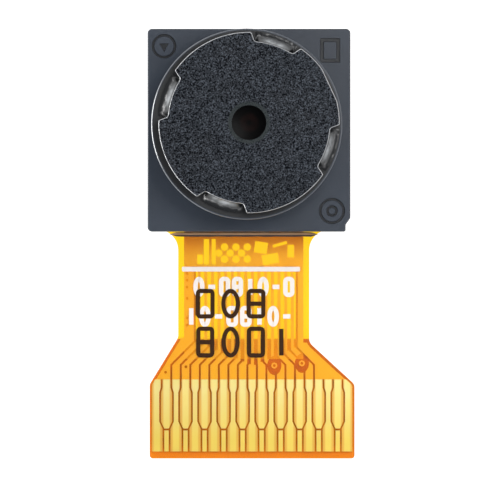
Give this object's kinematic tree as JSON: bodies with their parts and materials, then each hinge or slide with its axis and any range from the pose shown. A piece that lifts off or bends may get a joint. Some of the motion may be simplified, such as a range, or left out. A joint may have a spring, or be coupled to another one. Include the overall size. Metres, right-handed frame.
{
  "type": "camera module",
  "caption": "Fixed-focus camera module: threaded lens barrel in a square holder on a flexible printed circuit whose stiffened end plugs into a flat-cable connector.",
  "frame": {"origin": "on the optical axis, in the rear face of the stiffener plate", "axes": "+Z the way the lens looks, -Y along the flexible tail, +X to the right seen from in front"},
  "size_m": [0.0065, 0.0136, 0.0039],
  "materials": {
    "housing_plastic": "moulded, fine matt",
    "barrel_plastic": "spark-eroded matt",
    "baffle_film": "matt black film",
    "lens_plastic": "clear, coated",
    "filter_glass": "polished, coated",
    "clear_adhesive": "glossy, cured",
    "bead_adhesive": "glossy, dark amber",
    "black_adhesive": "matt",
    "silicon": "polished",
    "bonding_film": "matt",
    "gold": "plated, satin",
    "capacitor_ceramic": "fired",
    "tin": "matt tinned",
    "copper": "etched foil",
    "polyimide_film": "satin, amber",
    "polyimide_board": "satin, dark amber",
    "stainless_steel": "rolled, fine brushed"
  },
  "bodies": {
    "root": {"lens_holder": "housing_plastic", "lens_barrel": "barrel_plastic", "retaining_ring": "barrel_plastic", "spacer_ring": "barrel_plastic", "front_baffle": "baffle_film", "rear_baffle": "baffle_film", "front_lens": "lens_plastic", "middle_lens": "lens_plastic", "rear_lens": "lens_plastic", "infrared_filter": "filter_glass", "filter_adhesive": "clear_adhesive", "thread_lock_adhesive": "clear_adhesive", "exit_bead": "bead_adhesive", "housing_adhesive": "black_adhesive", "image_sensor": "silicon", "die_attach_film": "bonding_film", "plate_adhesive": "bonding_film", "tail_stiffener_adhesive": "bonding_film", "bond_wires": "gold", "contact_fingers": "gold", "capacitor_bodies": "capacitor_ceramic", "capacitor_terminals": "tin", "solder_joints": "tin", "front_copper": "copper", "back_copper": "copper", "base_film": "polyimide_film", "front_coverlay": "polyimide_film", "back_coverlay": "polyimide_film", "tail_stiffener": "polyimide_board", "stiffener_plate": "stainless_steel"}
  },
  "joints": []
}
